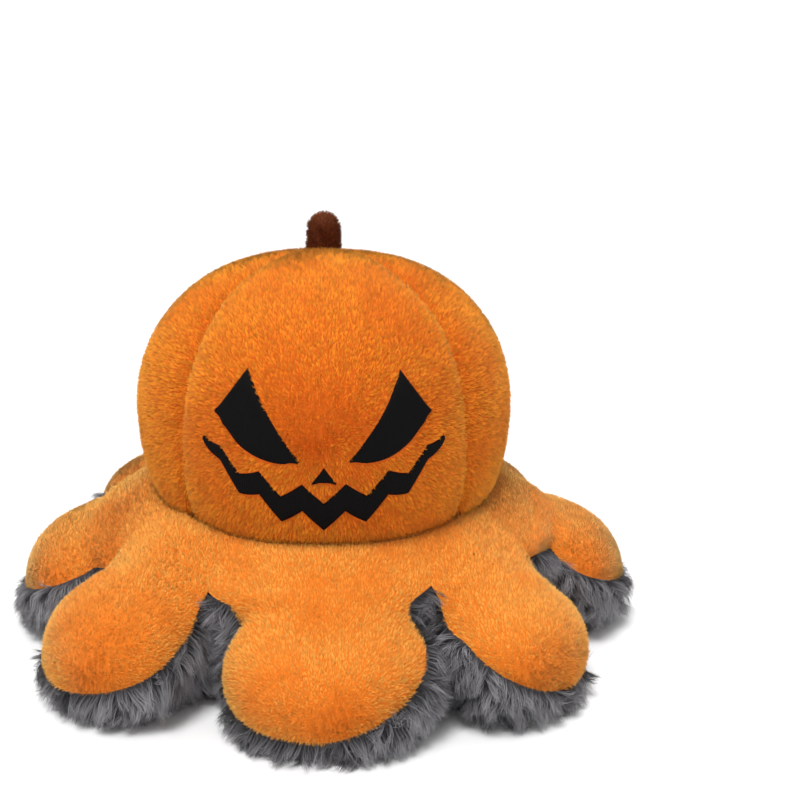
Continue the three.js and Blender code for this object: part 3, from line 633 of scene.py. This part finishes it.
def leg_section(radius, turn, sides, rolled, reach, girth, drop, opened):
    """Points round a leg that points forwards, at a distance from the middle of the toy. Turn runs from 0 at the
    right edge over the top to half a turn at the left edge and on round underneath. Sides are the angles to the
    right and left valley and the distances at which the leg parts from its neighbours there."""
    closing = np.sqrt(np.clip(1 - (np.clip(radius - LEG_BULB, 0, None) / (reach - LEG_BULB)) ** 2, 0, 1))
    swell = smooth((radius - SKIRT_END) / (SWELL_END - SKIRT_END))
    late = smooth((radius - ROLL_START) / (ROLL_END - ROLL_START))
    turn = turn - math.radians(rolled) * late * (TIP_ROLL + (1 - TIP_ROLL) * closing)
    cosine, sine = np.cos(turn), np.sin(turn)
    right, left, right_notch, left_notch = sides
    wedge = radius * np.sin(np.where(cosine > 0, right, left))
    parted = np.clip((radius - np.where(cosine > 0, right_notch, left_notch)) / NOTCH_LENGTH, 0, 1)
    own = np.minimum(curve(LEG_WIDTH, radius) * girth, wedge - LEG_GAP)
    edge = wedge + (own - wedge) * np.sqrt(parted)
    top, seam = curve(LEG_TOP, radius), curve(LEG_SEAM, radius) - drop * swell
    bottom = SOLE_FLOOR + SOLE_LIFT * smooth((SOLE_LIFT_END - radius) / SOLE_LIFT_LENGTH)
    sole_power = 2 / (SOLE_SQUARENESS + (SOLE_ROUNDNESS - SOLE_SQUARENESS) * swell)
    over = (1 - swell) * (1 + np.cos(np.pi * cosine)) / 2 + swell * np.abs(sine) ** (2 / UPPER_ROUNDNESS)
    under = opened * np.abs(sine) ** sole_power
    z = seam + closing * np.where(sine > 0, (top - seam) * over, (bottom - seam) * under)
    power = np.where(sine > 0, 1 + (2 / UPPER_ROUNDNESS - 1) * swell, sole_power)
    x = closing * edge * np.sign(cosine) * np.abs(cosine) ** power
    return x, z, parted


def leg_place(u, v, upper, sides, rolled, lift, reach, girth, drop):
    start = LEG_ROOT if upper else SOLE_ROOT
    along = np.where(v < BULB_ROWS, v / BULB_ROWS * (LEG_BULB - start), LEG_BULB - start)
    radius = start + along + (reach - LEG_BULB) * np.sin(np.clip((v - BULB_ROWS) / (1 - BULB_ROWS), 0, 1) * np.pi / 2)
    turn = np.pi * u if upper else np.pi * (1 + u)
    opened = 1.0 if upper else np.clip(v / SOLE_CLOSED, 0, 1)
    x, z, parted = leg_section(radius, turn, sides, rolled, reach, girth, drop, opened)
    pulled = SEAM_PULL * parted * np.exp(-((np.minimum(u, 1 - u) * np.pi / SEAM_PULL_ANGLE) ** 2))
    x = x - np.sign(x) * np.minimum(pulled, np.abs(x) * SEAM_PULL_MOST)
    run, height = np.sqrt(radius**2 - x**2) - HINGE_RADIUS, z - NECK_HEIGHT
    raised = math.radians(lift) * smooth((radius - SKIRT_END) / LIFT_LENGTH)
    c, s = np.cos(raised), np.sin(raised)
    level = np.maximum(NECK_HEIGHT + run * s + height * c, SOLE_FLOOR)
    return np.stack([x, -HINGE_RADIUS - run * c + height * s, level], 1)


def turned(points, angle):
    c, s = math.cos(angle), math.sin(angle)
    return points @ np.array([[c, s, 0], [-s, c, 0], [0, 0, 1]])


valleys = [leg[-2:] for leg in LEGS.values()]
for number, (leg, (direction, *shape, valley, notch)) in enumerate(LEGS.items()):
    angle, (valley_before, notch_before) = math.radians(direction), valleys[number - 1]
    right, left = math.radians((valley - direction) % 360), math.radians((direction - valley_before) % 360)
    sides = right, left, notch, notch_before
    outward = turned(np.array([[0.0, -1.0, 0.0]]), angle)[0]
    across = turned(np.array([[1.0, 0.0, 0.0]]), angle)[0]
    middle = outward * 74 + [0, 0, 16]
    thinned = np.random.default_rng(500 + number)

    def leg_nap(points, normals):
        return LEG_NAP * outward + uneven(points, seed=60, size=22, height=0.35)

    def combed(points, normals):
        away = unit((points - middle) * [1, 1, 0.2]) - [0, 0, 0.7]
        return away + uneven(points, seed=80, size=14, height=0.6)

    def hidden(points):
        flat = (points[:, 2] < FLAT_FUR) & (thinned.random(len(points)) < FLAT_THINNING)
        parting = np.where(points @ across > 0, notch, notch_before) + FUR_CLEARANCE
        return flat | (np.hypot(points[:, 0], points[:, 1]) < parting) & (points[:, 2] > FUR_TOP)

    for upper, part in ((True, "upper"), (False, "sole")):
        sheet = cloth(LEG_COLUMNS, LEG_ROWS, lambda u, v: turned(leg_place(u, v, upper, sides, *shape), angle))
        bmesh.ops.remove_doubles(sheet, verts=sheet.verts, dist=POLE * MM)
        bmesh.ops.recalc_face_normals(sheet, faces=sheet.faces)
        stuffed(sheet, lambda points: np.hypot(points[:, 0], points[:, 1]) < SKIRT_SEWN, pressure=25, swell=0.6)
        piece = keep(f"{leg}_leg_{part}_plush", sheet, leg_plush_painted_light if upper else grey_fur)
        if upper:
            with_pile(piece, 300 + number, nap=leg_nap, **LEG_PILE)
            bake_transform(piece)
        else:
            with_pile(piece, 400 + number, nap=combed, bare=hidden, **GREY_FUR)
            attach(piece, f"{leg}_leg")
            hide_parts(f"{leg}_leg_filling")
        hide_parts(f"{leg}_leg_{part}")


# Lining. Four panels of grey long pile line the hollow under the head, sewn to a point at the top. Turned
# inside out they are the spider's head.
HOLLOW_RADIUS, HOLLOW_WAIST, HOLLOW_HEIGHT = 32.0, 32.0, 86.0
LINING_FOOT, LINING_STRAIGHT = 2, 0.35  # where it starts, and the share of its rows below the dome
LINING_LIFT, LINING_SEAM_DEPTH, LINING_SEAM_WIDTH = 0.4, 0.9, 2
LINING_COLUMNS, LINING_ROWS = 24, 40
LINING_FUR = dict(density=3, length=7.0, width=0.22, lean=0.7, tuft=3.0, gather=0.4, stray=0.3, bends=2)


def in_hollow(angle, z, lift):
    """Points of the hollow's wall, standing into the hollow by lift."""
    share = np.clip((z - HOLLOW_WAIST) / (HOLLOW_HEIGHT - HOLLOW_WAIST), 0, 1)
    radius = np.maximum(HOLLOW_RADIUS * np.sqrt(1 - share**2) - lift, 0)
    return np.stack([radius * np.sin(angle), -radius * np.cos(angle), z], 1)


SPIDER_EYES = {  # distance round the wall from the middle, height, half width, half height
    "large": (29, 21, 5.2, 7.4),
    "inner": (10, 29, 3.4, 5.2),
    "upper": (21, 45, 2.4, 5.0),
    "outer": (37, 35, 2.4, 3.2),
}
SMILE_HEIGHT, SMILE_HALF_WIDTH, SMILE_DIP, SMILE_THICKNESS = 8.5, 8.0, 3.0, 1.6
SMILE_MARGIN, SMILE_BARE = 1, 4  # beside the smile, and above and below it
EYE_MARGIN = 1.3
PILE_HANG = (0, 2, 4)  # heights above an eye from which the pile would hang over it


def spider_bare(points):
    """Where the spider's stitched face covers the lining, or the pile would hang over it."""
    along = np.abs(np.arctan2(points[:, 0], -points[:, 1])) * HOLLOW_RADIUS
    above_smile = points[:, 2] - SMILE_HEIGHT - SMILE_MARGIN
    covered = (along < SMILE_HALF_WIDTH + SMILE_MARGIN) & (np.abs(above_smile) < SMILE_BARE)
    for hang in PILE_HANG:
        for middle, height, half_width, half_height in SPIDER_EYES.values():
            away = (along - middle) / half_width, (points[:, 2] - hang - height) / half_height
            covered |= away[0] ** 2 + away[1] ** 2 < EYE_MARGIN
    return covered


def hanging(points, normals):
    return [0.0, 0.0, -1.0] + uneven(points, seed=90, size=14, height=0.7)


for number, (side, (start, stop)) in enumerate(PANELS.items()):
    def lining_place(u, v):
        wall = LINING_FOOT + v / LINING_STRAIGHT * (HOLLOW_WAIST - LINING_FOOT)
        turn = np.clip((v - LINING_STRAIGHT) / (1 - LINING_STRAIGHT), 0, 1) * np.pi / 2
        dome = HOLLOW_WAIST + (HOLLOW_HEIGHT - HOLLOW_WAIST) * np.sin(turn)
        edge = np.minimum(u, 1 - u) * (stop - start) * HOLLOW_RADIUS
        lift = LINING_LIFT - LINING_SEAM_DEPTH * np.exp(-((edge / LINING_SEAM_WIDTH) ** 2))
        return in_hollow(start + (stop - start) * u, np.where(v < LINING_STRAIGHT, wall, dome), lift)

    sheet = cloth(LINING_COLUMNS, LINING_ROWS, lining_place)
    bmesh.ops.remove_doubles(sheet, verts=sheet.verts, dist=POLE * MM)
    bmesh.ops.recalc_face_normals(sheet, faces=sheet.faces)
    if sum(face.normal.dot(face.calc_center_median() * Vector((1, 1, 0))) for face in sheet.faces) > 0:
        bmesh.ops.reverse_faces(sheet, faces=sheet.faces)
    panel = keep(f"lining_{side}_panel_fur", sheet, grey_fur)
    with_pile(panel, 600 + number, nap=hanging, bare=spider_bare, **LINING_FUR)
    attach(panel, "head")
    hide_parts(f"lining_{side}_panel")


# Underside. One ring of the same grey pile that the head stands on, round the hollow's mouth, and the wall
# that goes up from it behind the legs to the neck seam.
UNDERSIDE = ([0, 10.5, 58], [31.8, 42.3, 53.2], [1.4, 1.4, 46.0])  # way out and up, radius, height
UNDERSIDE_COLUMNS, UNDERSIDE_ROWS = 96, 44
UNDERSIDE_FUR = dict(density=2.5, length=5.0, width=0.22, lean=0.9, tuft=3.0, gather=0.4, stray=0.3, bends=2)
UNDERSIDE_FUR_TOP = 38  # above this the wall is bare, behind the roots of the legs


def underside_place(u, v):
    along = v * UNDERSIDE[0][-1]
    radius, z = np.interp(along, UNDERSIDE[0], UNDERSIDE[1]), np.interp(along, UNDERSIDE[0], UNDERSIDE[2])
    return np.stack([radius * np.sin(2 * np.pi * u), -radius * np.cos(2 * np.pi * u), z], 1)


def spreading(points, normals):
    return unit(points * [1, 1, 0]) + uneven(points, seed=95, size=14, height=0.7)


sheet = cloth(UNDERSIDE_COLUMNS, UNDERSIDE_ROWS, underside_place)
bmesh.ops.remove_doubles(sheet, verts=sheet.verts, dist=POLE * MM)
bmesh.ops.recalc_face_normals(sheet, faces=sheet.faces)
underside = keep("underside_fur", sheet, grey_fur)
with_pile(underside, 700, nap=spreading, bare=lambda points: points[:, 2] > UNDERSIDE_FUR_TOP, **UNDERSIDE_FUR)
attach(underside, "head")
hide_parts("underside")


# Spider face. Eight plain oval eyes in pairs and a small smile, stitched in black on the lining's front, with a
# white gleam in each eye.
SPIDER_LIFT = 2.0  # how far the stitches stand in front of the wall
GLEAM_SIDE, GLEAM_RISE, GLEAM_SIZE = 0.25, 0.4, 0.06  # in half widths, half heights, and squares of them

black_and_white = black_thread.copy()
black_and_white.name = "black_thread_with_gleam"
nodes, link = black_and_white.node_tree.nodes, black_and_white.node_tree.links.new
gleam, two = nodes.new("ShaderNodeAttribute"), nodes.new("ShaderNodeMix")
gleam.attribute_name = "gleam"
two.data_type = "RGBA"
two.inputs["B"].default_value = linear(238, 238, 236)
link(gleam.outputs["Fac"], two.inputs["Factor"])
link(nodes["Color Ramp"].outputs["Color"], two.inputs["A"])
link(two.outputs["Result"], nodes["Principled BSDF"].inputs["Base Color"])


def spider_place(along, z, lift):
    return in_hollow(along / HOLLOW_RADIUS, z, lift + SPIDER_LIFT)


for name, (middle, height, half_width, half_height) in SPIDER_EYES.items():
    def oval(along):
        half = half_height * np.sqrt(np.clip(1 - ((along - middle) / half_width) ** 2, 0.01, 1))
        return height - half, height + half

    for side, sign in (("left", -1), ("right", 1)):
        eye = satin_patch(f"spider_{name}_eye_{side}", (middle - half_width, middle + half_width), oval,
                          lambda x, z, lift: spider_place(sign * x, z, lift))
        points, _, _ = arrays(eye.data)
        along = np.abs(np.arctan2(points[:, 0], -points[:, 1])) * HOLLOW_RADIUS
        beside = (along - middle + GLEAM_SIDE * half_width) / half_width
        above = (points[:, 2] - height - GLEAM_RISE * half_height) / half_height
        white = (beside**2 + above**2 < GLEAM_SIZE).astype(float)
        eye.data.attributes.new("gleam", "FLOAT", "POINT").data.foreach_set("value", white)
        eye.data.materials[0] = black_and_white


def smile_edges(along):
    share = along / SMILE_HALF_WIDTH
    middle = SMILE_HEIGHT - SMILE_DIP * (1 - share**2) / 2
    half = np.maximum(STITCH_POINT, SMILE_THICKNESS * np.sqrt(np.clip(1 - share**2, 0, 1))) / 2
    return middle - half, middle + half


satin_patch("spider_smile", (-SMILE_HALF_WIDTH, SMILE_HALF_WIDTH), smile_edges, spider_place)


# Studio. A plain pale floor that takes the shadow, a soft key light from above, a weaker one from behind and an
# even sky, which the camera sees as plain white.
FLOOR_HALF = 6
LAMPS = {  # strength, angle across, tilt forwards and lean to the side, in degrees
    "key": (2.4, 26, 13, -9),
    "back_light": (0.9, 60, -50, 8),
}
SKY_STRENGTH = 0.54
ELEVATION, DISTANCE = math.radians(26.9), 0.5102

floor_sheet = bmesh.new()
bmesh.ops.create_grid(floor_sheet, x_segments=1, y_segments=1, size=FLOOR_HALF)
pale_floor = bpy.data.materials.new("pale_floor")
pale_floor.use_nodes = True
pale_floor.node_tree.nodes["Principled BSDF"].inputs["Base Color"].default_value = (0.93, 0.93, 0.93, 1)
pale_floor.node_tree.nodes["Principled BSDF"].inputs["Roughness"].default_value = 0.9
keep("floor", floor_sheet, pale_floor)

for name, (energy, spread, tilt, lean) in LAMPS.items():
    lamp = bpy.data.objects.new(name, bpy.data.lights.new(name, "SUN"))
    lamp.data.energy, lamp.data.angle = energy, math.radians(spread)
    lamp.rotation_euler = (math.radians(tilt), math.radians(lean), 0)
    scene.collection.objects.link(lamp)
world = bpy.data.worlds.new("sky")
world.use_nodes = True
nodes, link = world.node_tree.nodes, world.node_tree.links.new
background, path, strength = nodes["Background"], nodes.new("ShaderNodeLightPath"), nodes.new("ShaderNodeMapRange")
seen, shown = nodes.new("ShaderNodeMath"), nodes.new("ShaderNodeMath")
seen.operation = shown.operation = "MAXIMUM"
link(path.outputs["Is Camera Ray"], seen.inputs[0])
link(path.outputs["Is Glossy Ray"], seen.inputs[1])
link(seen.outputs[0], shown.inputs[0])
link(path.outputs["Is Transmission Ray"], shown.inputs[1])
link(shown.outputs[0], strength.inputs["Value"])
strength.inputs["To Min"].default_value = SKY_STRENGTH
strength.inputs["To Max"].default_value = 1.0
link(strength.outputs["Result"], background.inputs["Strength"])
background.inputs["Color"].default_value = (1, 1, 1, 1)
scene.world = world

camera = bpy.data.objects.new("camera", bpy.data.cameras.new("camera"))
camera.data.lens, camera.data.sensor_width = 69.17, 36
camera.data.shift_x, camera.data.shift_y = 0.0975, 0.1125
camera.location = DISTANCE * Vector((0, -math.cos(ELEVATION), math.sin(ELEVATION)))
aim = Vector((-0.0006, 0, 0.04116))
camera.rotation_euler = (aim - camera.location).to_track_quat("-Z", "Y").to_euler()
scene.collection.objects.link(camera)
scene.camera = camera
scene.view_settings.view_transform = "Standard"
